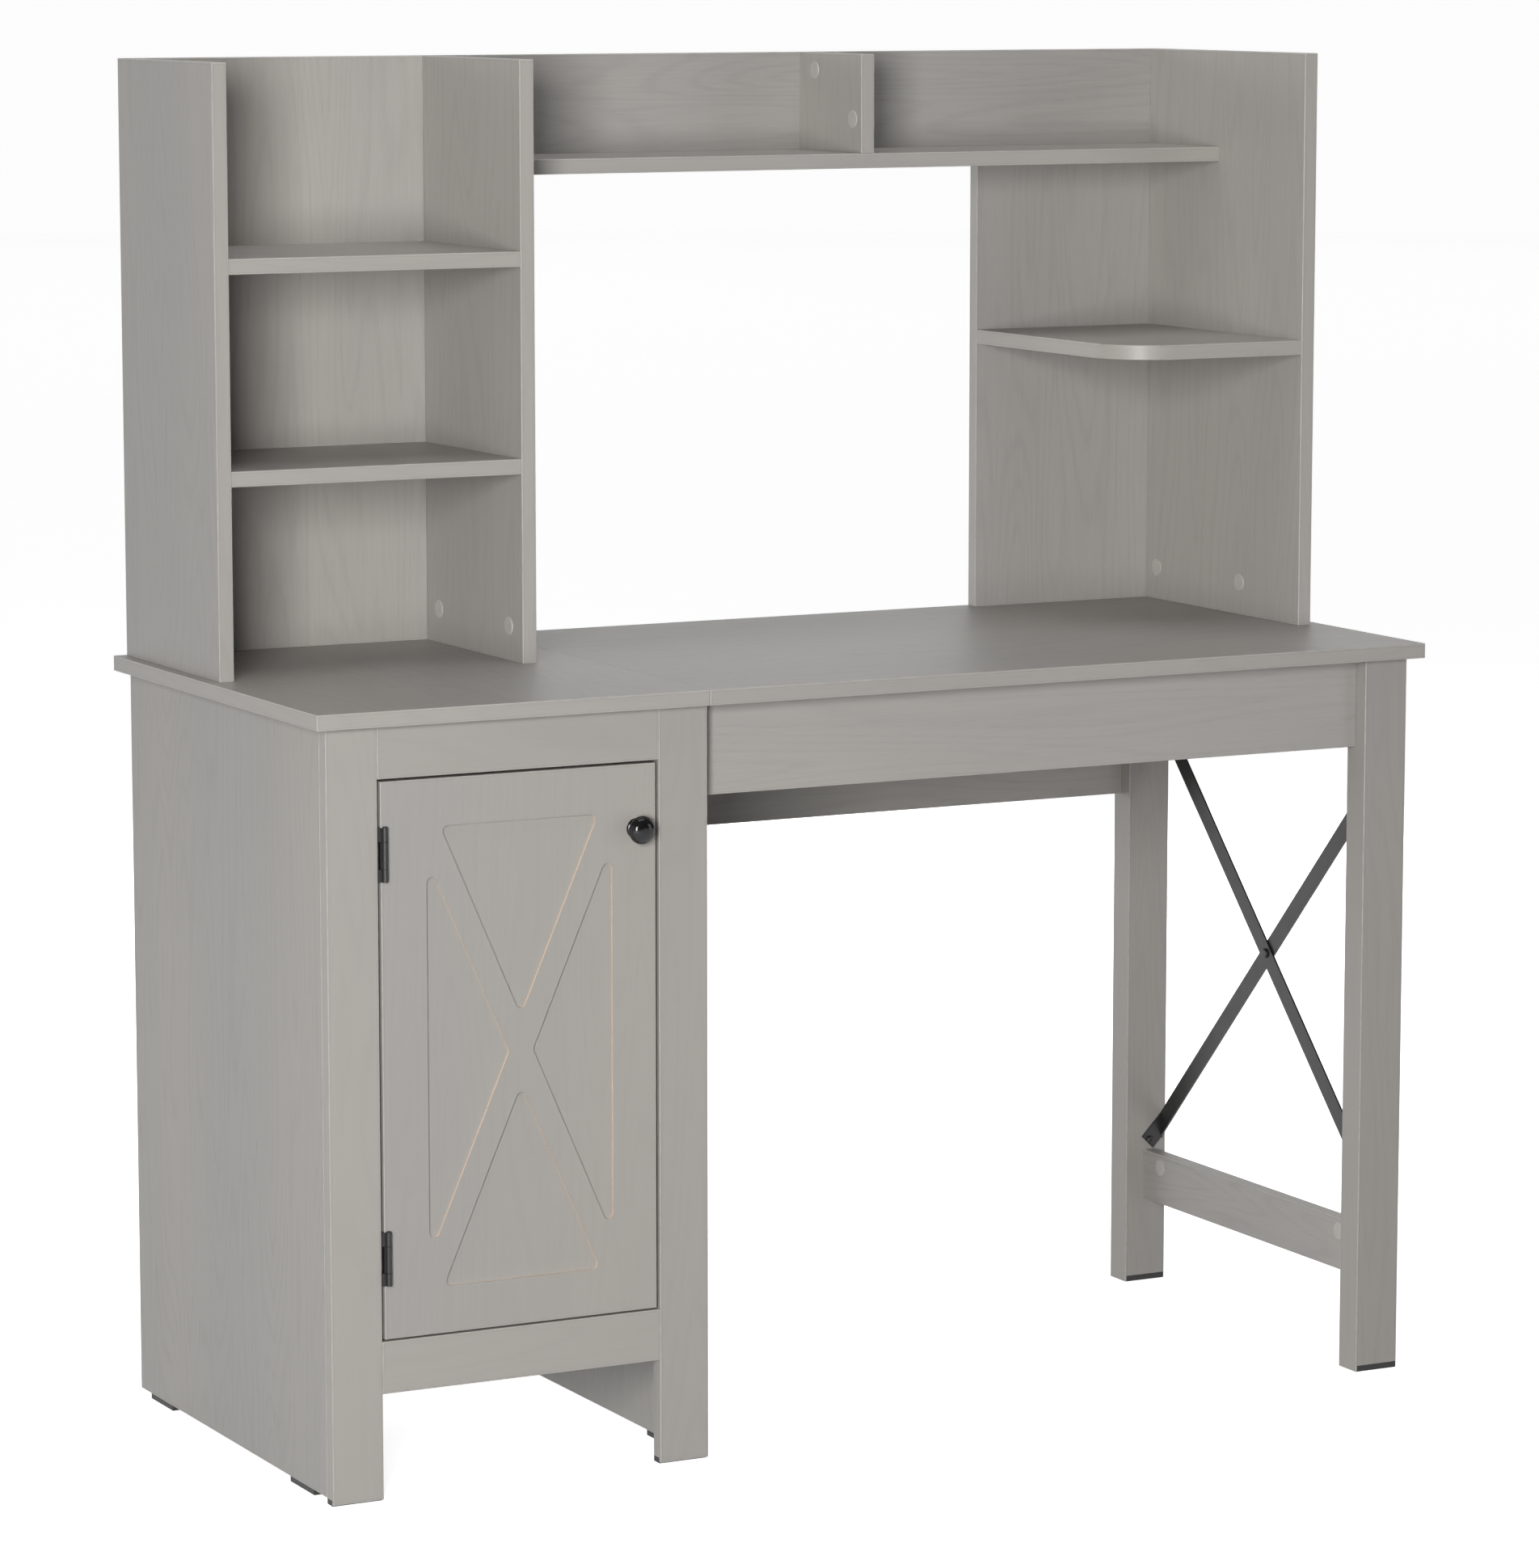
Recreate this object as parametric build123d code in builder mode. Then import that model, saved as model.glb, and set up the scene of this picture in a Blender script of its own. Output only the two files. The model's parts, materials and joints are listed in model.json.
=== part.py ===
from build123d import *
import math
import os

os.makedirs("parts", exist_ok=True)

# Free-standing desk with a hutch on top. X runs to the user's right, Y to the wall, Z up.
# The origin is on the floor, in the middle of the outline. All sizes are in millimetres.

# driving sizes
board = 15
arris = 0.5
desk_width = 1212
desk_depth = 514
desk_height = 750
side_overhang = 13.5
front_overhang = 13
rear_overhang = 10
knob_reach = 8
seam_from_left = 403
glide_height = 6
cabinet_width = 393
stile_width = 51.5
rail_height = 50
toe_space = 103
door_gap = 3
door_gap_latch = 3.5
door_gap_low = 2
door_gap_high = 2.5
back_thick = 3
leg_width = 49
leg_depth = 32
apron_height = 90
rear_rail_height = 197
stretcher_height = 54
hutch_height = 588
hutch_setback = 4
hutch_inset_left = 12.5
hutch_inset_right = 15
tower_depth = 244
tower_inner = 304.5
right_side_depth = 319
bridge_depth = 139
bridge_lift = 473
divider_from_left = 758
shelf_lifts = (186, 388)
corner_lift = 280
corner_radius = 60
corner_width = 212.5

# main planes
left = -desk_width / 2
right = desk_width / 2
front = knob_reach / 2 - desk_depth / 2
back = front + desk_depth
top_under = desk_height - board
frame_front = front + front_overhang
frame_back = frame_front + board
carcass_back = back - rear_overhang
cab_left = left + side_overhang
cab_right = cab_left + cabinet_width
open_left = cab_left + stile_width
open_right = cab_right - stile_width
open_low = toe_space + rail_height
open_high = top_under - rail_height
leg_right = right - side_overhang
leg_left = leg_right - leg_width
leg_front_back = frame_front + leg_depth
leg_rear_front = carcass_back - leg_depth
seam = left + seam_from_left
hutch_back = back - hutch_setback
panel_back = hutch_back - board
tower_left = left + hutch_inset_left
part_left = tower_left + board + tower_inner
part_right = part_left + board
side_right_out = right - hutch_inset_right
side_right_in = side_right_out - board
tower_front = hutch_back - tower_depth
hutch_top = desk_height + hutch_height
bridge_z = desk_height + bridge_lift
bridge_front = panel_back - bridge_depth
divider_x = left + divider_from_left
corner_left = side_right_in - corner_width
corner_front = hutch_back - right_side_depth
corner_z = desk_height + corner_lift

# cam fitting sizes
cam_inset = 34
cam_radius = 7.3
cam_pocket_radius = 7.5
cam_pocket_depth = 12
bolt_bore_radius = 3.5
pilot_radius = 2.6
pilot_depth = 11.5
dowel_radius = 4

X = Vector(1, 0, 0)
Y = Vector(0, 1, 0)
Z = Vector(0, 0, 1)


def cam(x, y, z, out, towards):
    """A cam fitting: its pocket opens along out, its bolt runs along towards into the next board."""
    return (Vector(x, y, z), out, towards)


def dowel(x, y, z, into, shallow=10, deep=20):
    """A dowel that starts at a joint face: shallow runs along into, deep the other way."""
    return (Vector(x, y, z), into, shallow, deep)


# cam fittings, one list for the whole piece
mid = board / 2
cams = []
for y in (tower_front + 32, hutch_back - 45):
    cams.append(cam(tower_left + board, y, desk_height + cam_inset, X, -Z))
    cams.append(cam(part_left, y, desk_height + cam_inset, -X, -Z))
    cams.append(cam(side_right_in, y + 8.5, desk_height + cam_inset, -X, -Z))
    for lift in shelf_lifts:
        cams.append(cam(tower_left + board + cam_inset, y, desk_height + lift, -Z, -X))
        cams.append(cam(part_left - cam_inset, y, desk_height + lift, -Z, X))
for y in (bridge_front + 34, panel_back - 25):
    cams.append(cam(part_right + cam_inset, y, bridge_z, -Z, -X))
    cams.append(cam(side_right_in - cam_inset, y, bridge_z, -Z, X))
cams.append(cam(part_right + cam_inset, hutch_back, hutch_top - 38, Y, -X))
cams.append(cam(side_right_in - cam_inset, hutch_back, hutch_top - 38, Y, X))
for z in (desk_height + 100, hutch_top - 98):
    cams.append(cam(tower_left + board + cam_inset, hutch_back, z, Y, -X))
    cams.append(cam(part_left - cam_inset, hutch_back, z, Y, X))
for z in (desk_height + 80, bridge_z - 73):
    cams.append(cam(side_right_in - cam_inset, hutch_back, z, Y, X))
cams.append(cam(corner_left + 71, hutch_back, desk_height + cam_inset, Y, -Z))
cams.append(cam(divider_x, bridge_front + 22, bridge_z + board + cam_inset, -X, -Z))
cams.append(cam(divider_x, panel_back - cam_inset, hutch_top - 18, -X, Y))
for y in (corner_front + 49, panel_back - 55):
    cams.append(cam(side_right_in - cam_inset, y, corner_z, -Z, X))
for x in (corner_left + 51, corner_left + 131):
    cams.append(cam(x, panel_back - cam_inset, corner_z, -Z, Y))
for y in (front + 120, front + 430):
    cams.append(cam(cab_left + board, y, top_under - cam_inset, X, Z))
    cams.append(cam(cab_right - board, y, top_under - cam_inset, -X, Z))
for y in (front + 100, front + 400):
    cams.append(cam(cab_left + board + cam_inset, y, open_low - board, -Z, -X))
    cams.append(cam(cab_right - board - cam_inset, y, open_low - board, -Z, X))
cams.append(cam(cab_left + board + cam_inset, frame_back + 30, top_under - board, -Z, -X))
cams.append(cam(cab_right - board - cam_inset, frame_back + 30, top_under - board, -Z, X))
cams.append(cam(cab_right + cam_inset, leg_front_back, top_under - 45, Y, -X))
cams.append(cam(leg_left - cam_inset, leg_front_back, top_under - 45, Y, X))
for z in (top_under - 45, top_under - 140):
    cams.append(cam(cab_right + cam_inset, carcass_back, z, Y, -X))
    cams.append(cam(leg_left - cam_inset, carcass_back, z, Y, X))
for x in (left + 620, left + 940):
    cams.append(cam(x, leg_front_back, top_under - cam_inset, Y, Z))
    cams.append(cam(x, carcass_back, top_under - cam_inset, Y, Z))
stretcher_x = leg_left + 21.5
stretcher_z = 92
cams.append(cam(stretcher_x, leg_rear_front - cam_inset - 2, stretcher_z + 40, -X, Y))
cams.append(cam(stretcher_x, leg_front_back + cam_inset + 2, stretcher_z + 40, -X, -Y))

# dowels
dowels = []
for z in (150, 400, 650):
    dowels.append(dowel(cab_left + mid, frame_back, z, -Y))
    dowels.append(dowel(cab_right - mid, frame_back, z, -Y))
for z in (open_high + 15, open_high + 36, toe_space + 14, toe_space + 36):
    dowels.append(dowel(open_left, frame_front + mid, z, -X, 20, 20))
    dowels.append(dowel(open_right, frame_front + mid, z, X, 20, 20))
for x in (leg_left + 14, leg_right - 14):
    dowels.append(dowel(x, frame_front + leg_depth / 2, top_under, Z))
    dowels.append(dowel(x, leg_rear_front + leg_depth / 2, top_under, Z))
dowels.append(dowel(stretcher_x + mid, leg_rear_front, stretcher_z + 14, Y))
dowels.append(dowel(stretcher_x + mid, leg_front_back, stretcher_z + 14, -Y))
for x in (corner_left + 40, corner_left + 160):
    dowels.append(dowel(x, hutch_back - mid, bridge_z, Z))
for x in (tower_left + board + 70, part_left - 70):
    dowels.append(dowel(x, hutch_back - mid, desk_height, -Z))
for x in (divider_x - 200, divider_x + 200):
    dowels.append(dowel(x, panel_back, bridge_z + mid, Y))
for z in (600, 700):
    dowels.append(dowel(cab_right, carcass_back - mid, z - 20, -X))

# shelf pins
pin_radius = 2.5
pin_depth = 9
shelf_z = 420
pin_rows = (shelf_z - 34.5, shelf_z - 2.5, shelf_z + 29.5)
pin_spots = []
for y in (front + 90, front + 430):
    for z in pin_rows:
        pin_spots.append((Vector(cab_left + board, y, z), -X))
        pin_spots.append((Vector(cab_right - board, y, z), X))

# folded brace bars between the two legs
bar_width = 19
bar_thick = 2
bar_x = leg_left + 42.5
bar_high = 618
bar_low = 171
bar_run = leg_rear_front - leg_front_back
bar_slope = (bar_high - bar_low) / bar_run
bar_rise = bar_width / 2 * math.sqrt(1 + bar_slope ** 2)
tab_length = 24
tab_screw_in = 14
tab_screw_x = bar_x - tab_screw_in
brace_spots = []
for z, sign in ((bar_high, 1), (bar_low, -1)):
    brace_spots.append((Vector(tab_screw_x, leg_rear_front, z + sign * tab_screw_in * bar_slope), Y))
    brace_spots.append((Vector(tab_screw_x, leg_front_back, z + sign * tab_screw_in * bar_slope), -Y))

# hinges, knob and catch
hinge_x = open_left + 6
hinge_y = frame_front - 3.4
hinge_height = 51
hinge_low = (589, 207)
barrel_radius = 2.8
pin_r = 1.2
leaf = 1.1
door_left = open_left + door_gap
door_right = open_right - door_gap_latch
door_low = open_low + door_gap_low
door_high = open_high - door_gap_high
leaf_screws = []
for low in hinge_low:
    for z in (low + 9, low + hinge_height - 9):
        leaf_screws.append((z, frame_front + 8.5))
knob_x = door_right - 20.5
knob_z = 621
catch_z = 592


def bore(start, direction, radius, depth):
    """Drill a round hole in the board being made."""
    with BuildSketch(Plane(origin=start, z_dir=direction)) as mouth:
        Circle(radius)
    extrude(mouth.sketch, amount=depth, mode=Mode.SUBTRACT)


def block(x0, x1, y0, y1, z0, z1, mode=Mode.ADD):
    """A plain block between two opposite corners."""
    with BuildSketch(Plane.XY.offset(z0)) as outline:
        with Locations(((x0 + x1) / 2, (y0 + y1) / 2)):
            Rectangle(x1 - x0, y1 - y0)
    extrude(outline.sketch, amount=z1 - z0, mode=mode)


def drill(x0, x1, y0, y1, z0, z1):
    """Drill each fitting's holes that fall inside this board."""
    def inside(p):
        return x0 < p.X < x1 and y0 < p.Y < y1 and z0 < p.Z < z1

    for at, out, towards in cams:
        axis = at - out * mid
        reach = inset_of(at, towards)
        joint = axis + towards * reach
        if inside(at - out * 3) and inside(axis + towards * 15):
            bore(at, -out, cam_pocket_radius, cam_pocket_depth)
            bore(axis, towards, bolt_bore_radius, reach)
        if inside(joint + towards * 3):
            bore(joint, towards, pilot_radius, pilot_depth)
    for at, into, shallow, deep in dowels:
        if inside(at + into * 3):
            bore(at, into, dowel_radius, shallow + 0.5)
        if inside(at - into * 3):
            bore(at, -into, dowel_radius, deep + 0.5)
    for at, into in pin_spots:
        if inside(at + into * 3):
            bore(at, into, pin_radius, pin_depth)
    for at, into in brace_spots:
        if inside(at + into * 3):
            bore(at, into, 1.75, 20)


def inset_of(at, towards):
    """How far the cam's centre is from the joint: the stretcher's are set in 2 mm more."""
    return cam_inset + 2 if abs(at.X - stretcher_x) < 1 and abs(towards.Y) > 0.5 else cam_inset


def panel(x0, x1, y0, y1, z0, z1):
    """A laminated board with its arrises eased, drilled for its fittings."""
    block(x0, x1, y0, y1, z0, z1)
    chamfer(edges(), arris)
    drill(x0, x1, y0, y1, z0, z1)


def save(builder, name):
    builder.part.label = name
    export_step(builder.part, "parts/" + name + ".step")


def save_copies(builder, places, name):
    """Save one solid for each place, all in one node."""
    solids = []
    for place in places:
        solids.extend(builder.part.moved(place.location).solids())
    group = Compound(solids)
    group.label = name
    export_step(group, "parts/" + name + ".step")


def plain_board(name, *span):
    with BuildPart() as made:
        panel(*span)
    save(made, name)


# ---- desktop ----
plain_board("desktop_left", left, seam - 0.3, front, back, top_under, desk_height)
plain_board("desktop_right", seam + 0.3, right, front, back, top_under, desk_height)

# ---- cabinet ----
back_y = front + 488
back_groove = 5
back_play = 0.2
for name, x0, groove in (("cabinet_side_left", cab_left, cab_left + board - back_groove),
                         ("cabinet_side_right", cab_right - board, cab_right - board)):
    with BuildPart() as cabinet_side:
        panel(x0, x0 + board, frame_back, carcass_back, glide_height, top_under)
        block(groove, groove + back_groove, back_y, back_y + back_thick + 2 * back_play, toe_space, top_under,
              Mode.SUBTRACT)
    save(cabinet_side, name)

inner_left = cab_left + board + 0.2
inner_right = cab_right - board - 0.2
plain_board("cabinet_floor", inner_left, inner_right, frame_back, back_y - back_play,
            open_low - board, open_low)
plain_board("cabinet_top_stretcher", inner_left, inner_right, frame_back, frame_back + 60,
            top_under - board, top_under)

with BuildPart() as cabinet_shelf:
    block(inner_left + 1, inner_right - 1, front + 60, back_y - 3, shelf_z, shelf_z + board)
    chamfer(edges(), arris)
save(cabinet_shelf, "cabinet_shelf")

with BuildPart() as cabinet_back:
    reach = back_groove - 2 * back_play - board
    block(cab_left - reach, cab_right + reach, back_y + back_play, back_y + back_play + back_thick,
          toe_space + 1, top_under)
save(cabinet_back, "cabinet_back")

# ---- face frame ----
for name, x0 in (("stile_left", cab_left), ("stile_right", open_right)):
    with BuildPart() as stile:
        panel(x0, x0 + stile_width, frame_front, frame_back, 1.5, top_under)
        block(x0 - 1, x0 + stile_width + 1, frame_front + 3, frame_back + 1, 0, glide_height,
              Mode.SUBTRACT)
        if name == "stile_left":
            for z, y in leaf_screws:
                bore(Vector(open_left, y, z), -X, 1.35, 14)
        else:
            for dz in (5, 21):
                bore(Vector(open_right + 18, frame_back, catch_z + dz), -Y, 1.35, 11)
    save(stile, name)

rail_in = 0.15
for name, z0 in (("rail_top", open_high), ("rail_bottom", toe_space)):
    plain_board(name, open_left + rail_in, open_right - rail_in, frame_front, frame_back,
                z0, z0 + rail_height)

# ---- door ----
recess_depth = 3
recess_corner = 5.5
door_mid_x = left + 210
door_mid_z = 418.5
end_half_width = 82
end_base = 219
end_tip = 32
flank_base = 96
flank_half_height = 192
flank_tip = 12


def recess(*points):
    """A shallow three-sided recess with round corners, milled in the door's front."""
    with BuildSketch(Plane.XZ.offset(-frame_front)) as outline:
        with BuildLine():
            Polyline(*points, close=True)
        make_face()
        fillet(outline.vertices(), recess_corner)
    extrude(outline.sketch, amount=-recess_depth, mode=Mode.SUBTRACT)


with BuildPart() as door_panel:
    block(door_left, door_right, frame_front, frame_back, door_low, door_high)
    chamfer(edges(), arris)
    for s in (1, -1):
        recess((door_mid_x - end_half_width, door_mid_z + s * end_base),
               (door_mid_x + end_half_width, door_mid_z + s * end_base),
               (door_mid_x, door_mid_z + s * end_tip))
        recess((door_mid_x + s * flank_base, door_mid_z - flank_half_height),
               (door_mid_x + s * flank_base, door_mid_z + flank_half_height),
               (door_mid_x + s * flank_tip, door_mid_z))
    for z, y in leaf_screws:
        bore(Vector(door_left, y, z), X, 1.35, 14)
    bore(Vector(knob_x, frame_front, knob_z), Y, 2.3, board)
    bore(Vector(door_right - 8, frame_back, catch_z + 13), -Y, 1.35, 10)
save(door_panel, "door_panel")

# ---- knob: round head on a neck and base, with its screw from inside the door ----
head_r = 13.5
with BuildPart() as door_knob:
    knob_seat = Plane(origin=(knob_x, frame_front, knob_z), x_dir=(1, 0, 0), z_dir=(0, 0, 1))
    with BuildSketch(knob_seat) as profile:
        with BuildLine():
            Line((0, 0), (10, 0))
            Line((10, 0), (10, -1.2))
            Spline((10, -1.2), (6.8, -4.2), (6.6, -6.8), (11.8, -10.2))
            Spline((11.8, -10.2), (head_r, -12.6), (head_r - 1.2, -15.6))
            Spline((head_r - 1.2, -15.6), (10, -18.6), (5.5, -20.6), (0, -21))
            Line((0, -21), (0, 0))
        make_face()
    revolve(profile.sketch, axis=Axis((knob_x, frame_front, knob_z), (0, 1, 0)))
    bore(Vector(knob_x, frame_front, knob_z), -Y, 2.05, 12)
save(door_knob, "door_knob")

with BuildPart() as knob_screw:
    with BuildSketch(Plane(origin=(knob_x, frame_back, knob_z), z_dir=(0, 1, 0))) as head:
        Circle(4)
    extrude(head.sketch, amount=2.4)
    chamfer(edges().filter_by(GeomType.CIRCLE).sort_by(Axis.Y)[-1], 0.8)
    with BuildSketch(Plane(origin=(knob_x, frame_back, knob_z), z_dir=(0, -1, 0))) as shank:
        Circle(2)
    extrude(shank.sketch, amount=board + 11)
    for half_x, half_z in ((2.5, 0.5), (0.5, 2.5)):
        block(knob_x - half_x, knob_x + half_x, frame_back + 1.5, frame_back + 3,
              knob_z - half_z, knob_z + half_z, Mode.SUBTRACT)
save(knob_screw, "knob_screw")

# ---- hinges ----
knuckle_a = 12
knuckle_b = 26
neck_y = hinge_y + 0.6


def knuckle(z0, height, hole):
    with BuildSketch(Plane.XY.offset(z0)) as ring:
        with Locations((hinge_x, hinge_y)):
            Circle(barrel_radius)
            Circle(hole, mode=Mode.SUBTRACT)
    extrude(ring.sketch, amount=height)


def screw_seats(x_face, direction):
    """Countersunk screw holes through a leaf."""
    for z, y in leaf_screws:
        if z > hinge_span[0] and z < hinge_span[1]:
            bore(Vector(x_face, y, z), direction, 1.4, leaf + 1)
            with BuildSketch(Plane(origin=(x_face, y, z), z_dir=direction)) as seat:
                Circle(2.6)
            extrude(seat.sketch, amount=leaf, taper=45, mode=Mode.SUBTRACT)


for place, low in (("upper", hinge_low[0]), ("lower", hinge_low[1])):
    hinge_span = (low, low + hinge_height)
    knuckle_top = low + knuckle_a + knuckle_b
    with BuildPart() as frame_leaf:
        block(open_left, open_left + leaf, frame_front + 0.5, frame_back - 1, low, low + hinge_height)
        for z0, z1 in ((low, low + knuckle_a), (knuckle_top, low + hinge_height)):
            block(open_left, open_left + leaf, neck_y, frame_front + 1, z0, z1)
            block(open_left, hinge_x, neck_y, neck_y + leaf, z0, z1)
            knuckle(z0, z1 - z0, pin_r + 0.02)
            bore(Vector(hinge_x, hinge_y, z0), Z, pin_r + 0.02, z1 - z0)
        screw_seats(open_left + leaf, -X)
    save(frame_leaf, "hinge_" + place + "_frame_leaf")
    with BuildPart() as door_leaf:
        block(door_left - leaf, door_left, frame_front + 0.5, frame_back - 1, low, low + hinge_height)
        z0, z1 = low + knuckle_a + 0.3, knuckle_top - 0.3
        block(door_left - leaf, door_left, neck_y, frame_front + 1, z0, z1)
        block(door_left - leaf, hinge_x, neck_y, neck_y + leaf, z0, z1)
        knuckle(z0, z1 - z0, pin_r + 0.05)
        bore(Vector(hinge_x, hinge_y, z0), Z, pin_r + 0.05, z1 - z0)
        screw_seats(door_left - leaf, X)
    save(door_leaf, "hinge_" + place + "_door_leaf")
    with BuildPart() as hinge_pin:
        with BuildSketch(Plane.XY.offset(low)) as rod:
            with Locations((hinge_x, hinge_y)):
                Circle(pin_r)
        extrude(rod.sketch, amount=hinge_height)
        with BuildSketch(Plane.XY.offset(low + hinge_height)) as cap:
            with Locations((hinge_x, hinge_y)):
                Circle(2.2)
        extrude(cap.sketch, amount=1.2)
        fillet(edges().filter_by(GeomType.CIRCLE).sort_by(Axis.Z)[-1], 0.8)
    save(hinge_pin, "hinge_" + place + "_pin")

with BuildPart() as leaf_screw:
    with BuildSketch(Plane.XY) as head:
        Circle(2.4)
    extrude(head.sketch, amount=-leaf, taper=45)
    with BuildSketch(Plane.XY) as shank:
        Circle(1.3)
    extrude(shank.sketch, amount=-14)
    block(-1.6, 1.6, -0.3, 0.3, -0.5, 0.1, Mode.SUBTRACT)
    block(-0.3, 0.3, -1.6, 1.6, -0.5, 0.1, Mode.SUBTRACT)
save_copies(leaf_screw, [Plane(origin=(open_left + leaf, y, z), x_dir=(0, 1, 0), z_dir=(1, 0, 0))
                         for z, y in leaf_screws], "hinge_frame_screws")
save_copies(leaf_screw, [Plane(origin=(door_left - leaf, y, z), x_dir=(0, 1, 0), z_dir=(-1, 0, 0))
                         for z, y in leaf_screws], "hinge_door_screws")

# ---- magnetic catch behind the right stile, and its strike plate on the door ----
with BuildPart() as catch_housing:
    block(open_right - 15, open_right + 7, frame_back + 1.5, frame_back + 13, catch_z, catch_z + 26)
    block(open_right + 1, open_right + 34, frame_back, frame_back + 3, catch_z - 4, catch_z + 30)
    block(open_right - 12.2, open_right - 2.8, frame_back + 1, frame_back + 9.2,
          catch_z + 2.8, catch_z + 23.2, Mode.SUBTRACT)
    for dz in (5, 21):
        bore(Vector(open_right + 18, frame_back, catch_z + dz), Y, 1.5, 3)
save(catch_housing, "catch_housing")

with BuildPart() as catch_magnet:
    block(open_right - 12, open_right - 3, frame_back + 1.3, frame_back + 9, catch_z + 3, catch_z + 23)
save(catch_magnet, "catch_magnet")

with BuildPart() as pan_screw:
    with BuildSketch(Plane.XY) as head:
        Circle(2.8)
    extrude(head.sketch, amount=1.6)
    chamfer(edges().filter_by(GeomType.CIRCLE).sort_by(Axis.Z)[-1], 0.6)
    with BuildSketch(Plane.XY) as shank:
        Circle(1.3)
    extrude(shank.sketch, amount=-12)
    block(-1.6, 1.6, -0.3, 0.3, 0.9, 1.7, Mode.SUBTRACT)
    block(-0.3, 0.3, -1.6, 1.6, 0.9, 1.7, Mode.SUBTRACT)
save_copies(pan_screw, [Plane(origin=(open_right + 18, frame_back + 3, catch_z + dz), z_dir=(0, 1, 0))
                        for dz in (5, 21)], "catch_screws")

strike_x = door_right - 8
strike_z = catch_z + 13
with BuildPart() as strike_plate:
    block(strike_x - 7, strike_x + 7, frame_back, frame_back + 1, strike_z - 10, strike_z + 10)
    bore(Vector(strike_x, frame_back, strike_z), Y, 1.5, 1)
    with BuildSketch(Plane(origin=(strike_x, frame_back + 1, strike_z), z_dir=(0, -1, 0))) as seat:
        Circle(2.5)
    extrude(seat.sketch, amount=1, taper=45, mode=Mode.SUBTRACT)
save(strike_plate, "strike_plate")

with BuildPart() as strike_screw:
    screw_top = Plane(origin=(strike_x, frame_back + 0.9, strike_z), z_dir=(0, -1, 0))
    with BuildSketch(screw_top) as head:
        Circle(2.3)
    extrude(head.sketch, amount=0.9, taper=45)
    with BuildSketch(screw_top) as shank:
        Circle(1.3)
    extrude(shank.sketch, amount=10)
save(strike_screw, "strike_screw")

# ---- desk front, rear rail, legs and stretcher ----
pad_depth = 17
pad_height = 6.5
pad_margin = 1.5
apron_front = leg_front_back - board
plain_board("front_apron", cab_right + 0.2, leg_left - 0.2, apron_front, leg_front_back,
            top_under - apron_height, top_under)
plain_board("rear_rail", cab_right + 0.2, leg_left - 0.2, carcass_back - board, carcass_back,
            top_under - rear_rail_height, top_under)
for name, y0 in (("leg_front", frame_front), ("leg_rear", leg_rear_front)):
    with BuildPart() as leg:
        panel(leg_left, leg_right, y0, y0 + leg_depth, 0, top_under)
        block(leg_left + pad_margin, leg_right + 1, y0 - 1, y0 + pad_depth, -1, pad_height, Mode.SUBTRACT)
    save(leg, name)
plain_board("leg_stretcher", stretcher_x, stretcher_x + board, leg_front_back + 0.1, leg_rear_front - 0.1,
            stretcher_z, stretcher_z + stretcher_height)

# ---- glides ----
with BuildPart() as leg_glides:
    for y0 in (frame_front, leg_rear_front):
        block(leg_left + pad_margin + 0.1, leg_right - 0.3, y0 + 0.3, y0 + pad_depth - 0.2,
              0, pad_height - 0.1)
    chamfer(edges().group_by(Axis.Z)[0], 0.6)
save(leg_glides, "leg_glides")

with BuildPart() as panel_glides:
    for x0 in (cab_left, cab_right - board):
        for y0 in (front + 62, front + 422):
            block(x0 + 1, x0 + board - 1, y0, y0 + 57, 0, glide_height)
    for x0 in (cab_left, open_right):
        block(x0 + 0.3, x0 + stile_width - 0.3, frame_front + 3.2, frame_back, 0, glide_height)
    chamfer(edges().group_by(Axis.Z)[0], 0.6)
save(panel_glides, "panel_glides")

# ---- folded X brace ----
def brace_bar(name, x0, rear_z, front_z):
    """A flat bar between the legs, both ends folded square to lie on the legs."""
    with BuildPart() as bar:
        with BuildSketch(Plane.YZ.offset(x0)) as strip:
            with BuildLine():
                Polyline((leg_front_back, front_z - bar_rise), (leg_rear_front, rear_z - bar_rise),
                         (leg_rear_front, rear_z + bar_rise), (leg_front_back, front_z + bar_rise),
                         close=True)
            make_face()
        extrude(strip.sketch, amount=bar_thick)
        for y0, z_fold in ((leg_front_back, front_z), (leg_rear_front - bar_thick, rear_z)):
            sign = 1 if z_fold > 400 else -1
            slant = math.sqrt(1 + bar_slope ** 2)
            end_x = x0 - tab_length / slant
            end_z = z_fold + sign * bar_slope * tab_length / slant
            step_x = sign * bar_slope * bar_width / 2 / slant
            step_z = bar_width / 2 / slant
            x1 = x0 + bar_thick
            with BuildSketch(Plane.XZ.offset(-y0)) as tab:
                with BuildLine():
                    Polyline((x1, z_fold - bar_rise), (x1, z_fold + bar_rise), (x0, z_fold + bar_rise),
                             (end_x + step_x, end_z + step_z), (end_x - step_x, end_z - step_z),
                             (x0, z_fold - bar_rise), close=True)
                make_face()
            extrude(tab.sketch, amount=-bar_thick)
            bore(Vector(tab_screw_x, y0, z_fold + sign * tab_screw_in * bar_slope), Y, 2.2, bar_thick)
        bore(Vector(x0, (leg_front_back + leg_rear_front) / 2, (rear_z + front_z) / 2), X, 2.6, bar_thick)
    save(bar, name)


brace_bar("brace_bar_near", bar_x - bar_thick, bar_high, bar_low)
brace_bar("brace_bar_far", bar_x, bar_low, bar_high)

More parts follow.
